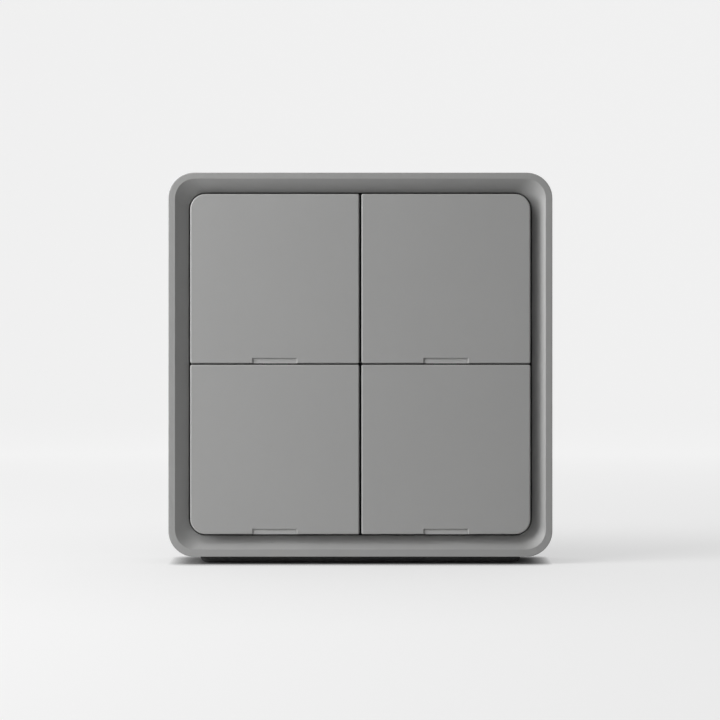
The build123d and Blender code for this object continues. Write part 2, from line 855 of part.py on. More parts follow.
def pieces():
    """Every piece of the switch by name, in the modelling frame."""
    made = {
        "front_frame": front_frame(), "foot_strip": foot_strip(), "key_carrier": key_carrier(),
        "circuit_board": circuit_board(), "radio_board": radio_board(), "radio_shield": radio_shield(),
        "radio_antenna": radio_antenna(), "controller_chip": controller_chip(), "crystal": crystal(),
        "passives": passives(), "coin_cell": coin_cell(), "contact_negative": contact_negative(),
        "contact_positive": contact_positive(), "battery_door": battery_door(),
        "rear_housing": rear_housing(), "housing_screws": housing_screws(),
        "pairing_button": pairing_button(), "pairing_switch": pairing_switch(),
        "pairing_plunger": pairing_plunger(), "holding_magnets": holding_magnets(),
        "steel_discs": steel_discs(), "wall_plate": wall_plate(), "adhesive_pads": adhesive_pads(),
    }
    per_key = {
        "key": key, "indicator_window": indicator_window, "tact_base": tact_base,
        "tact_cover": tact_cover, "tact_plunger": tact_plunger, "status_led": status_led,
    }
    for place, (side, row) in KEYS.items():
        for kind, make in per_key.items():
            made[f"{kind}_{place}"] = make(side, row)
    return made


def main():
    os.makedirs("parts", exist_ok=True)
    for name, shape in pieces().items():
        standing = Rot(90, 0, 0) * shape
        standing.label = name
        export_step(standing, f"parts/{name}.step")


main()
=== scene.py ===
import math

import bmesh
import bpy
from bpy.props import FloatProperty, FloatVectorProperty, IntProperty, PointerProperty
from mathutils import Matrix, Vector


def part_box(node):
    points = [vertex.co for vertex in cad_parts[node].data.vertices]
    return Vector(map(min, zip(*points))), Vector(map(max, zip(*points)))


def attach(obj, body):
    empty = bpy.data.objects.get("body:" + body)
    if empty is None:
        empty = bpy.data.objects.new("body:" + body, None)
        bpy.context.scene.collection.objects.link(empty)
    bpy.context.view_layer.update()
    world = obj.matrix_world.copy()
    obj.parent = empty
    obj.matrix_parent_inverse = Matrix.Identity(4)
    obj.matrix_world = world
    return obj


bl_info = {
    "name": "Wireless light switch",
    "version": (1, 0, 0),
    "blender": (4, 5, 0),
    "location": "3D View > Sidebar > Switch",
    "description": "Dresses the packed light switch in its materials and builds its small details and stage",
    "category": "Object",
}

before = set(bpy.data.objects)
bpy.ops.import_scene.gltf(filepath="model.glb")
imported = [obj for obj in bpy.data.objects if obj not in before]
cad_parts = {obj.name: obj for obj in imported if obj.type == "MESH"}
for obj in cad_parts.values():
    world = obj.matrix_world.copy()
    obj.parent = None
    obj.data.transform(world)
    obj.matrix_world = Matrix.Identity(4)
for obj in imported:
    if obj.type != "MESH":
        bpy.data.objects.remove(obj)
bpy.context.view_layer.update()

PLACES = ("top_left", "top_right", "bottom_left", "bottom_right")
FRONT_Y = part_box("front_frame")[0].y
FLOOR_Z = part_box("foot_strip")[0].z

# The studio board's glow changes between these depths. It fades under the switch in two ways, both painted
# shade:
# a painted contact shadow and a wide, faint painted shadow.
GLOW_NEAR = 0.0
GLOW_FAR = 0.45
PAINTED_CONTACT_SHADOW_WITHIN = 0.0038
PAINTED_SHADE_WITHIN = 0.1
PAINTED_SHADE_SHARE = 0.32
OPENNESS_SAMPLES = 8


# Shader expressions

class Signal:
    """A shader socket that works in Python expressions: each operator adds its Math node."""

    def __init__(self, graph, socket):
        self.graph = graph
        self.socket = socket

    def other(self, output):
        """Another output of the same node."""
        return Signal(self.graph, self.socket.node.outputs[output])

    def math(self, operation, *values):
        return self.graph.node("ShaderNodeMath", {"operation": operation}, dict(enumerate(values)))

    def __add__(self, other):
        return self.math("ADD", self, other)

    __radd__ = __add__

    def __sub__(self, other):
        return self.math("SUBTRACT", self, other)

    def __rsub__(self, other):
        return self.math("SUBTRACT", other, self)

    def __mul__(self, other):
        return self.math("MULTIPLY", self, other)

    __rmul__ = __mul__

    def larger(self, other):
        return self.math("MAXIMUM", self, other)

    def power(self, exponent):
        return self.math("POWER", self, exponent)

    def sine(self):
        return self.math("SINE", self)


class Graph:
    """A node tree, and the ways to add to it."""

    def __init__(self, tree):
        self.tree = tree

    def node(self, kind, settings=None, inputs=None, output=0):
        """Adds a node: its settings first, then the values or links of its sockets."""
        made = self.tree.nodes.new(kind)
        for key, value in (settings or {}).items():
            setattr(made, key, value)
        for key, value in (inputs or {}).items():
            self.feed(made.inputs[key], value)
        return Signal(self, made.outputs[output])

    def feed(self, socket, value):
        if isinstance(value, Signal):
            self.tree.links.new(value.socket, socket)
        else:
            socket.default_value = value

    def looking(self):
        """1 for what the camera, reflections and clear pieces see, and 0 for light that falls on things."""
        camera = self.node("ShaderNodeLightPath", output="Is Camera Ray")
        return camera.larger(camera.other("Is Glossy Ray")).larger(camera.other("Is Transmission Ray"))


class Finish(Graph):
    """One material: a Principled surface whose varying sockets are fed by Signals."""

    def __init__(self, name, metallic=0.0, specular=0.5):
        self.material = bpy.data.materials.new(name)
        self.material.use_nodes = True
        super().__init__(self.material.node_tree)
        self.tree.nodes.clear()
        surface = self.node("ShaderNodeBsdfPrincipled",
                            inputs={"Metallic": metallic, "Specular IOR Level": specular})
        self.surface = surface.socket.node
        output = self.tree.nodes.new("ShaderNodeOutputMaterial")
        self.feed(output.inputs["Surface"], surface)
        self.place = self.node("ShaderNodeTexCoord", output="Object")

    def set(self, name, value):
        self.feed(self.surface.inputs[name], value)

    def noise(self, scale, detail=2.0, place=None):
        """Smooth noise from 0 to 1, scale in waves per metre."""
        return self.node("ShaderNodeTexNoise", {"noise_dimensions": "3D"},
                         {"Vector": place or self.place, "Scale": scale, "Detail": detail})

    def stretched(self, x, y, z):
        """The object's place with each axis scaled, for grain that runs one way."""
        return self.node("ShaderNodeVectorMath", {"operation": "MULTIPLY"}, {0: self.place, 1: (x, y, z)})

    def axes(self):
        """The object's x, y and z, in metres, as three Signals."""
        x = self.node("ShaderNodeSeparateXYZ", inputs={0: self.place})
        return x, x.other(1), x.other(2)

    def blend(self, factor, first, second):
        """A colour between two, by a factor from 0 to 1."""
        first, second = (colour if isinstance(colour, Signal) else (*colour, 1.0)
                         for colour in (first, second))
        return self.node("ShaderNodeMix", {"data_type": "RGBA"}, {0: factor, 6: first, 7: second}, output=2)

    def openness(self, within):
        """1 in the open, and falling to 0 where other surfaces stand closer than within."""
        return self.node("ShaderNodeAmbientOcclusion", {"samples": OPENNESS_SAMPLES},
                         {"Distance": within}, "AO")

    def step(self, value, start, end):
        """A smooth rise from 0 at start to 1 at end."""
        return self.node("ShaderNodeMapRange", {"interpolation_type": "SMOOTHSTEP"},
                         {"Value": value, "From Min": start, "From Max": end})

    def relief(self, height, depth):
        """A bump whose full height is depth metres."""
        bump = {"Height": height, "Distance": depth, "Strength": 1.0}
        self.set("Normal", self.node("ShaderNodeBump", inputs=bump))


def shade(colour, factor):
    return tuple(channel * factor for channel in colour)


def moulded(name, colour, roughness=0.5, depth=3e-6, variation=0.02):
    """Fine-eroded moulded plastic: a slightly uneven tone, a fine grain and a patchy sheen."""
    finish = Finish(name, specular=0.4)
    cloud = finish.noise(45.0, 3.0)
    finish.set("Base Color", finish.blend(cloud, shade(colour, 1 - variation), shade(colour, 1 + variation)))
    speck = finish.noise(9000.0)
    finish.set("Roughness", (cloud - 0.5) * 0.08 + (speck - 0.5) * 0.06 + roughness)
    finish.relief(speck, depth)
    return finish.material


def rubber(name, colour):
    """Matt black rubber with a fine, uneven skin."""
    finish = Finish(name, specular=0.3)
    dust = finish.noise(1800.0, 4.0)
    finish.set("Base Color", finish.blend(dust, shade(colour, 0.7), shade(colour, 1.5)))
    finish.set("Roughness", dust * 0.2 + 0.65)
    finish.relief(dust, 1e-5)
    return finish.material


def plated(name, colour, roughness=0.3):
    """Rolled or plated sheet metal, its fine lines along x."""
    finish = Finish(name, metallic=1.0)
    lines = finish.noise(1.0, 3.0, finish.stretched(300.0, 6000.0, 6000.0))
    stain = finish.noise(260.0, 3.0)
    finish.set("Base Color", finish.blend(stain, shade(colour, 0.9), shade(colour, 1.05)))
    finish.set("Roughness", (lines - 0.5) * 0.2 + (stain - 0.5) * 0.1 + roughness)
    finish.relief(lines, 1e-6)
    return finish.material


def spun(name, colour, roughness=0.3):
    """Turned or stamped round metal: a fine grain drawn out from front to back, and duller patches."""
    finish = Finish(name, metallic=1.0)
    grain = finish.noise(5000.0, place=finish.stretched(1.0, 0.2, 1.0))
    stain = finish.noise(180.0, 3.0)
    finish.set("Base Color", finish.blend(stain, shade(colour, 0.92), shade(colour, 1.04)))
    finish.set("Roughness", (grain - 0.5) * 0.14 + (stain - 0.5) * 0.1 + roughness)
    finish.relief(grain, 8e-7)
    return finish.material


def solder_mask(name, colour):
    """A circuit board's glossy mask over a glass weave."""
    finish = Finish(name)
    x, _, z = finish.axes()
    weave = (x * 9000.0).sine() * (z * 9000.0).sine() * 0.5 + 0.5
    cloud = finish.noise(120.0)
    tone = weave * 0.5 + cloud * 0.5
    finish.set("Base Color", finish.blend(tone, shade(colour, 0.75), shade(colour, 1.25)))
    finish.set("Roughness", cloud * 0.15 + 0.25)
    finish.relief(weave, 2e-6)
    return finish.material


def foam(name, colour):
    """Closed-cell foam tape."""
    finish = Finish(name, specular=0.2)
    cells = finish.node("ShaderNodeTexVoronoi", {"feature": "F1"}, {"Vector": finish.place, "Scale": 2600.0})
    finish.set("Base Color", finish.blend(cells, colour, shade(colour, 0.8)))
    finish.set("Roughness", cells * 0.2 + 0.7)
    finish.relief(cells, 3e-5)
    return finish.material


def diffuser(name, colour):
    """A white plastic lamp lens with faintly warm clouds."""
    finish = Finish(name)
    cloud = finish.noise(1500.0)
    warm = (colour[0], colour[1] * 0.98, colour[2] * 0.85)
    finish.set("Base Color", finish.blend(cloud, shade(colour, 0.9), warm))
    finish.set("Roughness", cloud * 0.2 + 0.2)
    return finish.material


def solder(name):
    """Reflowed solder: bright, with slow ripples and a duller skin in patches."""
    colour = (0.70, 0.70, 0.68)
    finish = Finish(name, metallic=1.0)
    ripple = finish.noise(2500.0)
    finish.set("Base Color", finish.blend(ripple, shade(colour, 0.85), shade(colour, 1.1)))
    finish.set("Roughness", ripple * 0.25 + 0.15)
    finish.relief(ripple, 1e-5)
    return finish.material


def chip_resin(name, colour, first_pin, radius):
    """Black moulding resin with the pale dot that marks a chip's first pin."""
    finish = Finish(name, specular=0.4)
    x, _, z = finish.axes()
    across, along = x - first_pin[0], z - first_pin[1]
    away = (across * across + along * along).power(0.5)
    plain = finish.step(away, radius * 0.8, radius)
    speck = finish.noise(9000.0)
    resin = finish.blend(speck, shade(colour, 0.9), shade(colour, 1.2))
    finish.set("Base Color", finish.blend(plain, shade(colour, 12.0), resin))
    finish.set("Roughness", plain * 0.2 + speck * 0.1 + 0.3)
    finish.relief(speck, 3e-6)
    return finish.material


def dress(material, *nodes):
    """Gives a material to CAD nodes, which keep their shapes and places."""
    for name in nodes:
        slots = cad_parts[name].data.materials
        slots.clear()
        slots.append(material)


# Mesh shapes, in metres in the shared frame. The front is towards -Y.

FRONTWARD = Vector((0.0, -1.0, 0.0))


def piece(name, sheet, material, smooth=True):
    """Turns a finished sheet into an object that rides on the switch's body."""
    bmesh.ops.remove_doubles(sheet, verts=sheet.verts, dist=1e-8)
    bmesh.ops.recalc_face_normals(sheet, faces=sheet.faces)
    mesh = bpy.data.meshes.new(name)
    sheet.to_mesh(mesh)
    sheet.free()
    for face in mesh.polygons:
        face.use_smooth = smooth
    mesh.materials.append(material)
    made = bpy.data.objects.new(name, mesh)
    bpy.context.scene.collection.objects.link(made)
    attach(made, "switch_body")


def eased_block(sheet, low, high, edge):
    """A block between two corners, with rounded edges."""
    low, high = Vector(low), Vector(high)
    made = bmesh.ops.create_cube(sheet, size=1.0)["verts"]
    for vert in made:
        vert.co = (low + high) / 2 + vert.co * (high - low)
    corners = set(made)
    edges = [one for one in sheet.edges if one.verts[0] in corners]
    bmesh.ops.bevel(sheet, geom=edges, offset=edge, segments=2, profile=0.5, affect="EDGES")


def skin(sheet, rows, closed=False):
    """Faces between rows of as many points each, every row a closed loop."""
    rows = [[sheet.verts.new(point) for point in row] for row in rows]
    pairs = list(zip(rows, rows[1:] + rows[:1])) if closed else list(zip(rows, rows[1:]))
    for one, other in pairs:
        for index in range(len(one)):
            after = (index + 1) % len(one)
            sheet.faces.new((one[index], one[after], other[after], other[index]))
    if not closed:
        sheet.faces.new(rows[0])
        sheet.faces.new(rows[-1][::-1])


def lathe(sheet, profile, centre, steps=48):
    """Turns a closed profile of (radius, depth) about the front-to-back line through centre (x, z)."""
    turns = (2 * math.pi * step / steps for step in range(steps))
    skin(sheet, [[(centre[0] + radius * math.cos(turn), depth, centre[1] + radius * math.sin(turn))
                  for radius, depth in profile] for turn in turns], closed=True)


def thread(sheet, centre, start, end, radius, pitch, height, steps=24):
    """A ridge wound about the front-to-back line through centre, running out at both ends."""
    turns = abs(end - start) / pitch
    count = int(turns * steps)
    root = radius - height
    half_width = 0.4 * pitch
    rows = []
    for index in range(count + 1):
        share = index / count
        turn = 2 * math.pi * turns * share
        depth = start + (end - start) * share
        crest = radius + height * min(1.0, turns * share, turns * (1 - share))
        across, along = math.cos(turn), math.sin(turn)
        rows.append([(centre[0] + reach * across, depth + shift, centre[1] + reach * along)
                     for reach, shift in ((root, -half_width), (crest, 0.0), (root, half_width))])
    skin(sheet, rows)


def toe(sheet, start, end, outward, width, height, steps=5):
    """A solder toe, hollow from the board up a wall. start and end are where it meets both."""
    rows = []
    for corner in (start, end):
        row = [corner]
        for step in range(steps + 1):
            angle = math.pi / 2 * step / steps
            along, up = 1 - math.sin(angle), 1 - math.cos(angle)
            row.append(corner + outward * width * along + FRONTWARD * height * up)
        rows.append(row)
    skin(sheet, rows)


def toes(sheet, box, axis, offsets, length, width, height, base=None, inset=0.0):
    """Solder toes at both ends of a box along an axis, at offsets from its middle."""
    low, high = box
    other = 2 - axis
    middle = (low[other] + high[other]) / 2
    for end, side in ((low[axis], -1), (high[axis], 1)):
        outward = Vector((0.0, 0.0, 0.0))
        outward[axis] = side
        for offset in offsets:
            places = []
            for shift in (-0.5, 0.5):
                place = Vector((0.0, high.y if base is None else base, 0.0))
                place[axis] = end - side * inset
                place[other] = middle + offset + shift * length
                places.append(place)
            toe(sheet, *places, outward, width + inset, height)


def end_caps(sheet, box, length, proud):
    """The tinned ends of a small soldered part that lies along x."""
    low, high = box
    for start, end in ((low.x - proud, low.x + length), (high.x - length, high.x + proud)):
        eased_block(sheet, (start, low.y - proud, low.z - proud), (end, high.y, high.z + proud), proud)


def track(sheet, points, width, thick, board_y):
    """A flat track on the board's front through (x, z) points, with mitred corners."""
    points = [Vector((x, 0.0, z)) for x, z in points]
    crown, mitre_limit = 0.8, 0.5
    rows = []
    for index, point in enumerate(points):
        before = (point - points[max(index - 1, 0)]).normalized()
        after = (points[min(index + 1, len(points) - 1)] - point).normalized()
        along = (before + after).normalized()
        side = Vector((along.z, 0.0, -along.x))
        leg = before or after
        spread = side / max(mitre_limit, side.dot(Vector((leg.z, 0.0, -leg.x))))
        rows.append([point + spread * (half * width / 2) + FRONTWARD * (rise - board_y)
                     for half, rise in ((-1.0, 0.0), (-crown, thick), (crown, thick), (1.0, 0.0))])
    skin(sheet, rows)


def dog_leg(start, end, turn_x, corner):
    """Points of a track that runs along x, then z, then x again, with its corners cut at 45 degrees."""
    way = math.copysign(corner, end[0] - start[0])
    rise = math.copysign(corner, end[1] - start[1])
    return [start, (turn_x - way, start[1]), (turn_x, start[1] + rise), (turn_x, end[1] - rise),
            (turn_x + way, end[1]), end]


def spaced(count, pitch):
    """Offsets of a centred row."""
    return [(index - (count - 1) / 2) * pitch for index in range(count)]


# Settings

def colour_property(name, description, default):
    return FloatVectorProperty(name=name, description=description, default=default,
                               subtype="COLOR", min=0.0, max=1.0)


def length_property(name, description, default):
    return FloatProperty(name=name, description=description, default=default, unit="LENGTH")


def count_property(name, description, default):
    return IntProperty(name=name, description=description, default=default, min=1)


def level_property(name, description, default):
    return FloatProperty(name=name, description=description, default=default, min=0.0, soft_max=1.0)


def power_property(name, description, default):
    return FloatProperty(name=name, description=description, default=default, min=0.0, unit="POWER")


class SwitchFinishes(bpy.types.PropertyGroup):
    """Colours and sheen of the switch's pieces"""
    frame_colour: colour_property("Frame", "Colour of the front frame", (0.266, 0.266, 0.263))
    key_colour: colour_property("Keys", "Colour of the four keys", (0.284, 0.284, 0.281))
    # Painted light: the windows' colour is set lighter than the keys' partly to offset the shade in their
    # shallow recesses.
    window_colour_and_painted_light: colour_property("Windows", "Colour of the indicator windows", (0.330, 0.330, 0.327))
    back_colour: colour_property("Back", "Colour of the rear housing and its door", (0.290, 0.290, 0.288))
    plate_colour: colour_property("Wall plate", "Colour of the wall plate", (0.280, 0.280, 0.278))
    carrier_colour: colour_property("Carrier", "Colour of the key carrier", (0.012, 0.012, 0.012))
    # Painted shade: the foot's near-black also stands in for the shade in the gap under the frame.
    foot_colour_and_painted_shade: colour_property("Foot", "Colour of the rubber foot", (0.040, 0.040, 0.040))
    mask_colour: colour_property("Circuit board", "Colour of the board's mask", (0.010, 0.095, 0.040))
    radio_colour: colour_property("Radio board", "Colour of the radio board's mask", (0.010, 0.030, 0.120))
    plastic_roughness: FloatProperty(name="Plastic roughness", description="Roughness of the grey plastic",
                                     default=0.5, min=0.0, max=1.0, subtype="FACTOR")


class SwitchDetails(bpy.types.PropertyGroup):
    """Sizes of the small soldered and threaded details"""
    cap_length: length_property("End cap", "Length of the tinned end of a small part", 0.00025)
    cap_proud: length_property("Cap proud", "How far a tinned end stands proud of its part", 0.00002)
    toe_width: length_property("Toe width", "Reach of a solder toe over the board", 0.00022)
    toe_height: length_property("Toe height", "Climb of a solder toe up its part", 0.00028)
    wide_toe: length_property("Wide toe", "Length of a toe along the crystal or the shield", 0.0012)
    tab_pitch: length_property("Tab pitch", "Spacing of the toes along the shield", 0.0030)
    side_tabs: count_property("Side tabs", "Toes along each side of the shield", 3)
    end_tabs: count_property("End tabs", "Toes along each end of the shield", 2)
    leg_toe: length_property("Leg toe", "Reach of the toe at a switch's leg or a radio contact", 0.0005)
    leg_climb: length_property("Leg climb", "Climb of the toe up a switch's leg", 0.0008)
    leg_width: length_property("Leg width", "Width of a switch cover's leg", 0.0020)
    leg_inset: length_property("Leg thickness", "Thickness of a switch cover's leg", 0.0003)
    dot_inset: length_property("Dot inset", "From the chip's edges to the dot at its first pin", 0.0007)
    dot_radius: length_property("Dot", "Radius of the dot at the chip's first pin", 0.0003)
    chip_pads: count_property("Chip pads", "Pads along each side of the chip", 8)
    chip_pitch: length_property("Chip pitch", "Spacing of the chip's pads", 0.0005)
    passive_columns: count_property("Passive columns", "Small parts in each row", 6)
    passive_length: length_property("Passive length", "Length of a small part", 0.0010)
    passive_width: length_property("Passive width", "Width of a small part", 0.0005)
    radio_contacts: count_property("Radio contacts", "Contacts along each side of the radio board", 6)
    radio_pitch: length_property("Radio pitch", "Spacing of the radio board's contacts", 0.0020)
    radio_notch: length_property("Radio notch", "Radius of the radio board's contact notches", 0.00025)
    land_length: length_property("Land length", "Length of a contact's land on the radio board", 0.00075)
    land_width: length_property("Land width", "Width of a contact's land on the radio board", 0.0007)
    track_width: length_property("Track width", "Width of the board's tracks", 0.00028)
    track_height: length_property("Track height", "How far a track lifts the mask", 0.00003)
    track_corner: length_property("Track corner", "Length cut off a track's square corner", 0.0004)
    track_turn: length_property("Track turn", "From the middle to where the outermost track turns", 0.0130)
    track_step: length_property("Track step", "Spacing of the long tracks where they turn", 0.0011)
    via_radius: length_property("Via", "Outer radius of a via", 0.00032)
    via_hole: length_property("Via hole", "Radius of a via's hole", 0.00016)
    via_reach: length_property("Via reach", "How far a via stands from the part that it serves", 0.0017)
    thread_pitch: length_property("Thread pitch", "Pitch of the screws' thread", 0.0005)
    thread_height: length_property("Thread height", "Height of the screws' thread", 0.0001)
    shank_radius: length_property("Shank radius", "Radius of a screw's shank", 0.00095)
    screw_head: length_property("Screw head", "Radius of a screw's head", 0.0019)
    screw_head_height: length_property("Head height", "Height of a screw's head", 0.0013)
    seal_inset: length_property("Seal inset", "From the cell's side to its seal", 0.0008)
    seal_level: length_property("Seal level", "From the cell's front to its seal", 0.00035)
    seal_thickness: length_property("Seal thickness", "Radius of the seal's round section", 0.00016)
    dimple_radius: length_property("Dimple radius", "Radius of a contact dimple", 0.00045)
    dimple_rise: length_property("Dimple rise", "How far a contact dimple stands out", 0.00006)
    dimple_inset: length_property("Dimple inset", "From a contact finger's tip to its dimple", 0.0010)
    core_radius: length_property("Lamp core", "Radius of a lamp's phosphor", 0.00026)
    core_rise: length_property("Core rise", "Depth of a lamp's phosphor in its lens", 0.00005)
    ejector_radius: length_property("Ejector ring", "Radius of a moulding mark on the housing", 0.0016)
    ejector_rise: length_property("Ejector rise", "How far a moulding mark stands proud", 0.00008)
    ejector_inset: length_property("Ejector inset", "From the housing's edge to its outer marks", 0.0043)


class SwitchStudio(bpy.types.PropertyGroup):
    """Camera, floor and lights"""
    camera_distance: length_property("Camera distance", "From the lens to the frame's front", 0.400)
    picture_width: length_property("Picture width", "Width seen at the frame's front", 0.16015)
    camera_side: length_property("Camera to the right", "Camera's place along x", -0.00008)
    camera_height: length_property("Camera height", "Camera's place above the switch's centre", 0.001045)
    floor_colour: colour_property("Floor", "Colour of the floor as the switch sees it", (0.92, 0.92, 0.92))
    seen_colour: colour_property("Seen floor", "Colour of the floor under its glow", (0.20, 0.20, 0.20))
    floor_glow: level_property("Floor glow", "Glow that the camera sees on the floor", 0.68)
    wall_glow: level_property("Backdrop glow", "Glow that the camera sees on the backdrop", 0.84)
    room_level: level_property("Room", "Brightness of the room around", 0.12)
    low_power: power_property("Low light", "Power of the soft light low at the left", 1.86)
    middle_power: power_property("Middle light", "Power of the soft light half way up at the left", 0.36)
    high_power: power_property("High light", "Power of the soft light high at the left", 1.02)


# Operators

class SWITCH_OT_frame(bpy.types.Operator):
    """Dress the front frame and its rubber foot"""
    bl_idname = "switch.frame"
    bl_label = "Frame and foot"

    def execute(self, context):
        look = context.scene.switch_finishes
        dress(moulded("Grey frame plastic", look.frame_colour, look.plastic_roughness), "front_frame")
        # The foot is black rubber, and its black partly stands in as painted shade for the gap under the
        # frame.
        dress(rubber("Black foot rubber", look.foot_colour_and_painted_shade), "foot_strip")
        return {"FINISHED"}


class SWITCH_OT_keys(bpy.types.Operator):
    """Dress the four keys and their indicator windows"""
    bl_idname = "switch.keys"
    bl_label = "Keys and windows"

    def execute(self, context):
        look = context.scene.switch_finishes
        plastic = moulded("Grey key plastic", look.key_colour, look.plastic_roughness)
        # The windows' plastic is lighter than the keys' partly as painted light against the shade in their
        # recesses.
        window = moulded("Grey window plastic", look.window_colour_and_painted_light, look.plastic_roughness, depth=1e-6)
        for place in PLACES:
            dress(plastic, f"key_{place}")
            dress(window, f"indicator_window_{place}")
        return {"FINISHED"}


class SWITCH_OT_carrier(bpy.types.Operator):
    """Dress the dark carrier plate behind the keys"""
    bl_idname = "switch.carrier"
    bl_label = "Key carrier"

    def execute(self, context):
        look = context.scene.switch_finishes
        dress(moulded("Dark carrier plastic", look.carrier_colour, 0.6, variation=0.1), "key_carrier")
        return {"FINISHED"}


class SWITCH_OT_board(bpy.types.Operator):
    """Dress the circuit board and everything soldered to it"""
    bl_idname = "switch.board"
    bl_label = "Circuit board"

    def execute(self, context):
        look = context.scene.switch_finishes
        size = context.scene.switch_details
        dress(solder_mask("Green board mask", look.mask_colour), "circuit_board")
        dress(solder_mask("Blue board mask", look.radio_colour), "radio_board")
        dress(plated("Tinned can", (0.62, 0.62, 0.60)), "radio_shield", "crystal")
        dress(plated("Copper track", (0.83, 0.53, 0.32), 0.35), "radio_antenna")
        low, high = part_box("controller_chip")
        first_pin = (low.x + size.dot_inset, high.z - size.dot_inset)
        resin = chip_resin("Controller resin", (0.016, 0.016, 0.017), first_pin, size.dot_radius)
        dress(resin, "controller_chip")
        dress(moulded("Black switch resin", (0.020, 0.020, 0.021), 0.55), "pairing_switch",
              *(f"tact_base_{place}" for place in PLACES))
        dress(moulded("Brown ceramic", (0.36, 0.27, 0.17), 0.35), "passives")
        dress(plated("Switch cover steel", (0.60, 0.60, 0.59)), *(f"tact_cover_{place}" for place in PLACES))
        dress(moulded("Black plunger plastic", (0.030, 0.030, 0.030), 0.4),
              *(f"tact_plunger_{place}" for place in PLACES))
        dress(diffuser("White lamp lens", (0.82, 0.81, 0.76)), *(f"status_led_{place}" for place in PLACES))
        return {"FINISHED"}


class SWITCH_OT_battery(bpy.types.Operator):
    """Dress the coin cell, its contacts and its door"""
    bl_idname = "switch.battery"
    bl_label = "Battery and door"

    def execute(self, context):
        look = context.scene.switch_finishes
        dress(spun("Coin cell steel", (0.66, 0.66, 0.67)), "coin_cell")
        dress(plated("Spring steel", (0.60, 0.57, 0.50), 0.25), "contact_negative", "contact_positive")
        dress(moulded("Grey door plastic", look.back_colour, look.plastic_roughness), "battery_door")
        return {"FINISHED"}


class SWITCH_OT_housing(bpy.types.Operator):
    """Dress the rear housing, its screws and magnets, and the pairing button"""
    bl_idname = "switch.housing"
    bl_label = "Rear housing"

    def execute(self, context):
        look = context.scene.switch_finishes
        size = context.scene.switch_details
        plastic = moulded("Grey housing plastic", look.back_colour, look.plastic_roughness)
        dress(plastic, "rear_housing")
        door, magnets, button = (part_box(name) for name in
                                 ("battery_door", "holding_magnets", "pairing_button"))
        back, lift, outer = door[1].y, size.ejector_rise, size.ejector_radius
        crest = outer - 2 * lift
        profile = ((outer, back - lift), (crest, back + lift), (crest - 2 * lift, back + lift),
                   (crest - 4 * lift, back - lift))
        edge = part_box("rear_housing")[1].x - size.ejector_inset
        between = (button[0].x + magnets[1].x) / 2
        above = magnets[1].z + 2 * size.ejector_inset
        rings = bmesh.new()
        for x, z in ((edge, door[1].z), (button[0].x, edge), (between, above)):
            for side_x in (-1, 1):
                for side_z in (-1, 1):
                    lathe(rings, profile, (side_x * x, side_z * z), steps=32)
        piece("ejector_rings", rings, plastic)
        dress(spun("Screw steel", (0.50, 0.50, 0.51), 0.35), "housing_screws")
        dress(spun("Magnet nickel", (0.68, 0.67, 0.64), 0.15), "holding_magnets")
        button_plastic = moulded("Dark button plastic", (0.075, 0.075, 0.076), 0.45)
        dress(button_plastic, "pairing_button", "pairing_plunger")
        return {"FINISHED"}


class SWITCH_OT_plate(bpy.types.Operator):
    """Dress the wall plate, its steel discs and its adhesive pads"""
    bl_idname = "switch.plate"
    bl_label = "Wall plate"

    def execute(self, context):
        look = context.scene.switch_finishes
        dress(moulded("Grey plate plastic", look.plate_colour, look.plastic_roughness), "wall_plate")
        dress(spun("Disc steel", (0.55, 0.55, 0.55), 0.35), "steel_discs")
        dress(foam("White pad foam", (0.72, 0.72, 0.70)), "adhesive_pads")
        return {"FINISHED"}


class SWITCH_OT_solder(bpy.types.Operator):
    """Build the tinned ends, the pads and the solder of everything on the boards"""
    bl_idname = "switch.solder"
    bl_label = "Solder"

    def execute(self, context):
        size = context.scene.switch_details
        metal = solder("Solder")
        caps, joints = bmesh.new(), bmesh.new()
        low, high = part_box("passives")
        length, width = size.passive_length, size.passive_width
        for column in range(size.passive_columns):
            share = column / max(1, size.passive_columns - 1)
            x = low.x + share * (high.x - low.x - length)
            for z in (low.z, high.z - width):
                part = (Vector((x, low.y, z)), Vector((x + length, high.y, z + width)))
                end_caps(caps, part, size.cap_length, size.cap_proud)
                toes(joints, part, 0, (0.0,), width, size.toe_width, size.toe_height)
        for place in PLACES:
            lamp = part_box(f"status_led_{place}")
            end_caps(caps, lamp, size.cap_length, size.cap_proud)
            toes(joints, lamp, 0, (0.0,), lamp[1].z - lamp[0].z, size.toe_width, size.toe_height)
            toes(joints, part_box(f"tact_cover_{place}"), 2, (0.0,), size.leg_width, size.leg_toe,
                 size.leg_climb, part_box(f"tact_base_{place}")[1].y, size.leg_inset)
        toes(joints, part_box("crystal"), 0, (0.0,), size.wide_toe, size.toe_width, size.toe_height)
        piece("part_end_caps", caps, metal)
        piece("solder_toes", joints, metal)

        pads = bmesh.new()
        for axis in (0, 2):
            toes(pads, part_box("controller_chip"), axis, spaced(size.chip_pads, size.chip_pitch),
                 size.chip_pitch / 2, size.toe_width, size.toe_height)
        piece("chip_pads", pads, metal)

        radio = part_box("radio_board")
        half = (radio[1].z - radio[0].z) / 2
        offsets = [(index + 1) * size.radio_pitch - half for index in range(size.radio_contacts)]
        notch, lift, face = size.radio_notch, size.track_height, radio[0].y
        lands = bmesh.new()
        toes(lands, radio, 0, offsets, 2 * notch, size.leg_toe, radio[1].y - face, inset=notch)
        for side, edge in ((1, radio[0].x), (-1, radio[1].x)):
            for offset in offsets:
                z = (radio[0].z + radio[1].z) / 2 + offset
                ends = sorted((edge + side * notch, edge + side * (notch + size.land_length)))
                eased_block(lands, (ends[0], face - lift, z - size.land_width / 2),
                            (ends[1], face + lift, z + size.land_width / 2), lift / 2)
        piece("radio_contacts", lands, metal)

        tabs = bmesh.new()
        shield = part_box("radio_shield")
        for axis, count in ((0, size.side_tabs), (2, size.end_tabs)):
            toes(tabs, shield, axis, spaced(count, size.tab_pitch), size.wide_toe, size.toe_width,
                 size.toe_height, face)
        piece("shield_tabs", tabs, metal)
        return {"FINISHED"}


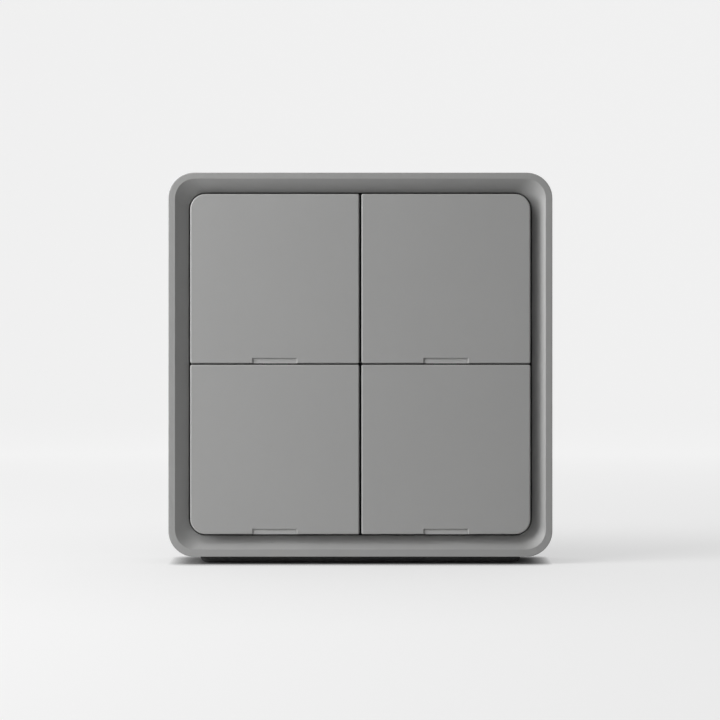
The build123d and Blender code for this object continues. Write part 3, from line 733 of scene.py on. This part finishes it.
def switch_routes(size, side):
    """Tracks from one side of the chip to that side's lamps and push switches."""
    low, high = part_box("controller_chip")
    middle = (low.z + high.z) / 2
    start_x = side * (high.x + size.toe_width / 2)
    hand = "right" if side > 0 else "left"
    routes = []
    for row, ordered in (("top", ("lamp", "near", "far")), ("bottom", ("near", "far", "lamp"))):
        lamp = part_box(f"status_led_{row}_{hand}")
        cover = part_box(f"tact_cover_{row}_{hand}")
        centre_x = (cover[0].x + cover[1].x) / 2
        leg_x = centre_x - side * size.leg_width / 2
        lamp_x = centre_x - side * (lamp[1].x - lamp[0].x + size.toe_width) / 2
        legs = (cover[0].z - size.leg_toe / 2, cover[1].z + size.leg_toe / 2)
        near, far = legs if row == "top" else reversed(legs)
        ends = {"lamp": (lamp_x, (lamp[0].z + lamp[1].z) / 2), "near": (leg_x, near), "far": (leg_x, far)}
        for index, target in enumerate(ordered):
            level = (index + 0.5) * size.chip_pitch
            start_z = middle + level if row == "top" else middle - level
            turn_x = side * (size.track_turn - index * size.track_step)
            routes.append(dog_leg((start_x, start_z), ends[target], turn_x, size.track_corner))
    return routes


def chip_routes(size, side):
    """Tracks from the chip's lower and upper pads to the crystal, the small parts and the radio board."""
    low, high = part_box("controller_chip")
    crystal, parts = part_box("crystal"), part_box("passives")
    pin = size.chip_pitch
    pad_z = low.z - size.toe_width / 2
    crystal_x = side * (crystal[1].x + size.toe_width)
    crystal_z = (crystal[0].z + crystal[1].z) / 2
    lean = abs(crystal_x) - pin / 2
    bend_z = crystal[1].z + 2 * lean
    routes = [[(side * pin / 2, pad_z), (side * pin / 2, bend_z), (crystal_x, bend_z - lean),
               (crystal_x, crystal_z)]]
    part_pitch = (parts[1].x - parts[0].x - size.passive_length) / max(1, size.passive_columns - 1)
    drop = pad_z - pin
    for column in (1, 2):
        part_x = side * (column + 0.5) * part_pitch
        pad_x = side * (column + 0.5) * pin
        routes.append([(part_x, parts[1].z), (part_x, drop - abs(part_x - pad_x)), (pad_x, drop),
                       (pad_x, pad_z)])
    radio_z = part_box("radio_board")[0].z + size.track_corner
    for column in (0, 1):
        x = side * (column + 0.5) * pin
        routes.append([(x, high.z + size.toe_width / 2), (x, radio_z)])
    return routes


def via_places(size):
    """Places (x, z) of the vias at the right. Each has a twin at the left."""
    low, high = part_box("controller_chip")
    crystal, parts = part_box("crystal"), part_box("passives")
    cover, below, lamp = (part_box(name) for name in
                          ("tact_cover_top_right", "tact_cover_bottom_right", "status_led_top_right"))
    edge = (cover[1].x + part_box("circuit_board")[1].x) / 2
    level = (lamp[1].z + cover[0].z) / 2
    beside = high.x + size.via_reach
    return ((beside, low.z - size.via_reach), (beside, high.z + size.via_reach),
            (parts[1].x + size.via_reach, (crystal[1].z + low.z) / 2),
            (cover[0].x, level), (edge, level), (edge, below[0].z))


class SWITCH_OT_tracks(bpy.types.Operator):
    """Build the circuit board's tracks and vias"""
    bl_idname = "switch.tracks"
    bl_label = "Tracks"

    def execute(self, context):
        size = context.scene.switch_details
        look = context.scene.switch_finishes
        board_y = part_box("circuit_board")[0].y
        sheet = bmesh.new()
        for side in (-1, 1):
            for points in switch_routes(size, side) + chip_routes(size, side):
                track(sheet, points, size.track_width, size.track_height, board_y)
        masked = solder_mask("Masked tracks", shade(look.mask_colour, 1.7))
        piece("board_tracks", sheet, masked, smooth=False)

        outer, inner, lift = size.via_radius, size.via_hole, board_y - size.track_height
        profile = ((inner, board_y), (inner, lift), (outer, lift), (outer * 1.1, board_y))
        rings = bmesh.new()
        for x, z in via_places(size):
            for side in (-1, 1):
                lathe(rings, profile, (side * x, z), steps=20)
        piece("board_vias", rings, solder("Tinned vias"))
        return {"FINISHED"}


class SWITCH_OT_fittings(bpy.types.Operator):
    """Build the screws' threads, the cell's seal, the contact's dimples and the lamps' cores"""
    bl_idname = "switch.fittings"
    bl_label = "Threads, seal and cores"

    def execute(self, context):
        size = context.scene.switch_details
        low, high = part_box("housing_screws")
        start = low.y + size.thread_pitch
        end = high.y - size.screw_head_height - size.thread_pitch
        threads = bmesh.new()
        for x in (low.x + size.screw_head, high.x - size.screw_head):
            for z in (low.z + size.screw_head, high.z - size.screw_head):
                thread(threads, (x, z), start, end, size.shank_radius, size.thread_pitch, size.thread_height)
        piece("screw_threads", threads, plated("Thread steel", (0.50, 0.50, 0.51), 0.35))

        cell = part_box("coin_cell")
        seal_radius, seal_y = cell[1].x - size.seal_inset, cell[0].y + size.seal_level
        sides = 10
        section = []
        for turn in (2 * math.pi * step / sides for step in range(sides)):
            section.append((seal_radius + size.seal_thickness * math.cos(turn),
                            seal_y + size.seal_thickness * math.sin(turn)))
        seal = bmesh.new()
        lathe(seal, section, (0.0, 0.0), steps=96)
        piece("cell_seal", seal, moulded("Dark seal nylon", (0.03, 0.03, 0.03), 0.4))

        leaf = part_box("contact_negative")
        base, rise, radius = leaf[1].y, size.dimple_rise, size.dimple_radius
        profile = ((0.0, base - rise), (radius, base - rise), (radius, base),
                   (radius * 0.7, base + rise * 0.6), (0.0, base + rise))
        reach = leaf[1].z - size.dimple_inset
        dimples = bmesh.new()
        fingers = 3
        for finger in range(fingers):
            turn = math.radians(90 + 360 * finger / fingers)
            lathe(dimples, profile, (reach * math.cos(turn), reach * math.sin(turn)), steps=24)
        piece("contact_dimples", dimples, plated("Dimple steel", (0.60, 0.57, 0.50), 0.25))

        cores = bmesh.new()
        for place in PLACES:
            low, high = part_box(f"status_led_{place}")
            rim, face, rise = size.core_radius, low.y, size.core_rise
            profile = ((0.0, face + rise), (rim, face + rise), (rim, face - rise / 5),
                       (rim / 2, face - rise * 0.6), (0.0, face - rise * 0.8))
            lathe(cores, profile, ((low.x + high.x) / 2, (low.z + high.z) / 2), steps=24)
        phosphor = moulded("Lamp phosphor", (0.80, 0.60, 0.10), 0.3, variation=0.1)
        piece("lamp_cores", cores, phosphor)
        return {"FINISHED"}


def backdrop_mesh(floor_z, half_width, front, back, bend, height):
    """A floor that bends up into a backdrop, as one smooth sheet."""
    profile = [(front, floor_z), (back - bend, floor_z)]
    steps = 24
    for step in range(1, steps + 1):
        angle = math.pi / 2 * step / steps
        profile.append((back - bend + bend * math.sin(angle), floor_z + bend - bend * math.cos(angle)))
    profile.append((back, floor_z + height))
    sheet = bmesh.new()
    rows = [[sheet.verts.new((x, y, z)) for x in (-half_width, half_width)] for y, z in profile]
    for low, high in zip(rows, rows[1:]):
        sheet.faces.new((low[0], low[1], high[1], high[0]))
    mesh = bpy.data.meshes.new("Studio sweep")
    sheet.to_mesh(mesh)
    sheet.free()
    for face in mesh.polygons:
        face.use_smooth = True
    return mesh


def backdrop_material(colour, seen_colour, floor_glow, wall_glow):
    """Pale matt board. What the camera and reflections see of it is partly a glow that lights nothing,
    and that fades as painted shade where the switch stands close over it: a painted contact shadow and a
    wide, faint one."""
    finish = Finish("Studio board", specular=0.0)
    seen = finish.looking()
    finish.set("Base Color", finish.blend(seen, colour, seen_colour))
    finish.set("Roughness", finish.noise(30.0) * 0.1 + 0.8)
    _, y, _ = finish.axes()
    depth = finish.node("ShaderNodeMapRange", {"interpolation_type": "LINEAR"},
                        {"Value": y, "From Min": GLOW_NEAR, "From Max": GLOW_FAR,
                         "To Min": floor_glow, "To Max": wall_glow})
    # Painted shadow: the glow is darkened where the switch stands near, a wide faint painted shadow times a
    # tight painted contact shadow.
    shadow = finish.openness(PAINTED_SHADE_WITHIN) * PAINTED_SHADE_SHARE + (1 - PAINTED_SHADE_SHARE)
    glow = seen * depth * shadow * finish.openness(PAINTED_CONTACT_SHADOW_WITHIN).power(2.0)
    finish.set("Emission Color", finish.blend(glow, (0.0, 0.0, 0.0), (1.0, 1.0, 1.0)))
    finish.set("Emission Strength", 1.0)
    return finish.material


def area_light(name, left, up, distance, size, power):
    """A square soft light aimed at the switch's face, its place given by two angles in degrees."""
    side, rise = math.radians(left), math.radians(up)
    away = Vector((-math.sin(side) * math.cos(rise), -math.cos(side) * math.cos(rise), math.sin(rise)))
    place = away * distance
    lamp = bpy.data.lights.new(name, "AREA")
    lamp.energy = power
    lamp.shape = "SQUARE"
    lamp.size = size
    holder = bpy.data.objects.new(name, lamp)
    holder.location = place
    holder.rotation_euler = (Vector((0, FRONT_Y, 0)) - place).to_track_quat("-Z", "Y").to_euler()
    bpy.context.scene.collection.objects.link(holder)


class SWITCH_OT_stage(bpy.types.Operator):
    """Build the floor, the lights and the camera"""
    bl_idname = "switch.stage"
    bl_label = "Stage"

    def execute(self, context):
        scene = context.scene
        studio = scene.switch_studio
        sweep = backdrop_mesh(FLOOR_Z, half_width=3.0, front=-1.6, back=1.6, bend=0.6, height=2.4)
        sheet = bpy.data.objects.new("Studio sweep", sweep)
        sheet.data.materials.append(backdrop_material(studio.floor_colour, studio.seen_colour,
                                                      studio.floor_glow, studio.wall_glow))
        scene.collection.objects.link(sheet)

        area_light("Low light", left=70, up=15, distance=0.45, size=0.20, power=studio.low_power)
        area_light("Middle light", left=55, up=29, distance=0.50, size=0.25, power=studio.middle_power)
        area_light("High light", left=55, up=50, distance=0.45, size=0.20, power=studio.high_power)

        world = bpy.data.worlds.new("Studio room")
        world.use_nodes = True
        room = world.node_tree.nodes["Background"]
        room.inputs["Color"].default_value = (1.0, 1.0, 1.0, 1.0)
        graph = Graph(world.node_tree)
        graph.feed(room.inputs["Strength"],
                   graph.looking() * (studio.wall_glow - studio.room_level) + studio.room_level)
        scene.world = world

        camera = bpy.data.cameras.new("Camera")
        camera.sensor_width = 36.0
        camera.lens = camera.sensor_width * studio.camera_distance / studio.picture_width
        camera.clip_start = 0.01
        holder = bpy.data.objects.new("Camera", camera)
        holder.location = (studio.camera_side, FRONT_Y - studio.camera_distance, studio.camera_height)
        holder.rotation_euler = (math.pi / 2, 0.0, 0.0)
        scene.collection.objects.link(holder)
        scene.camera = holder
        scene.view_settings.view_transform = "Standard"
        return {"FINISHED"}


class SWITCH_PT_sidebar(bpy.types.Panel):
    """Everything that builds and dresses the switch"""
    bl_idname = "SWITCH_PT_sidebar"
    bl_label = "Wireless light switch"
    bl_space_type = "VIEW_3D"
    bl_region_type = "UI"
    bl_category = "Switch"

    def draw(self, context):
        layout = self.layout
        scene = context.scene
        for group in (scene.switch_finishes, scene.switch_details, scene.switch_studio):
            column = layout.column(align=True)
            for name in group.bl_rna.properties.keys():
                if name not in ("rna_type", "name"):
                    column.prop(group, name)
        for step in STEPS:
            layout.operator(step.bl_idname)


STEPS = (SWITCH_OT_stage, SWITCH_OT_frame, SWITCH_OT_keys, SWITCH_OT_carrier, SWITCH_OT_board,
         SWITCH_OT_battery, SWITCH_OT_housing, SWITCH_OT_plate, SWITCH_OT_solder, SWITCH_OT_tracks,
         SWITCH_OT_fittings)
CLASSES = (SwitchFinishes, SwitchDetails, SwitchStudio, *STEPS, SWITCH_PT_sidebar)


def register():
    for kind in CLASSES:
        bpy.utils.register_class(kind)
    bpy.types.Scene.switch_finishes = PointerProperty(type=SwitchFinishes)
    bpy.types.Scene.switch_details = PointerProperty(type=SwitchDetails)
    bpy.types.Scene.switch_studio = PointerProperty(type=SwitchStudio)


def unregister():
    del bpy.types.Scene.switch_studio
    del bpy.types.Scene.switch_details
    del bpy.types.Scene.switch_finishes
    for kind in reversed(CLASSES):
        bpy.utils.unregister_class(kind)


def main():
    register()
    for step in STEPS:
        group, name = step.bl_idname.split(".")
        getattr(getattr(bpy.ops, group), name)()


if __name__ == "__main__":
    main()
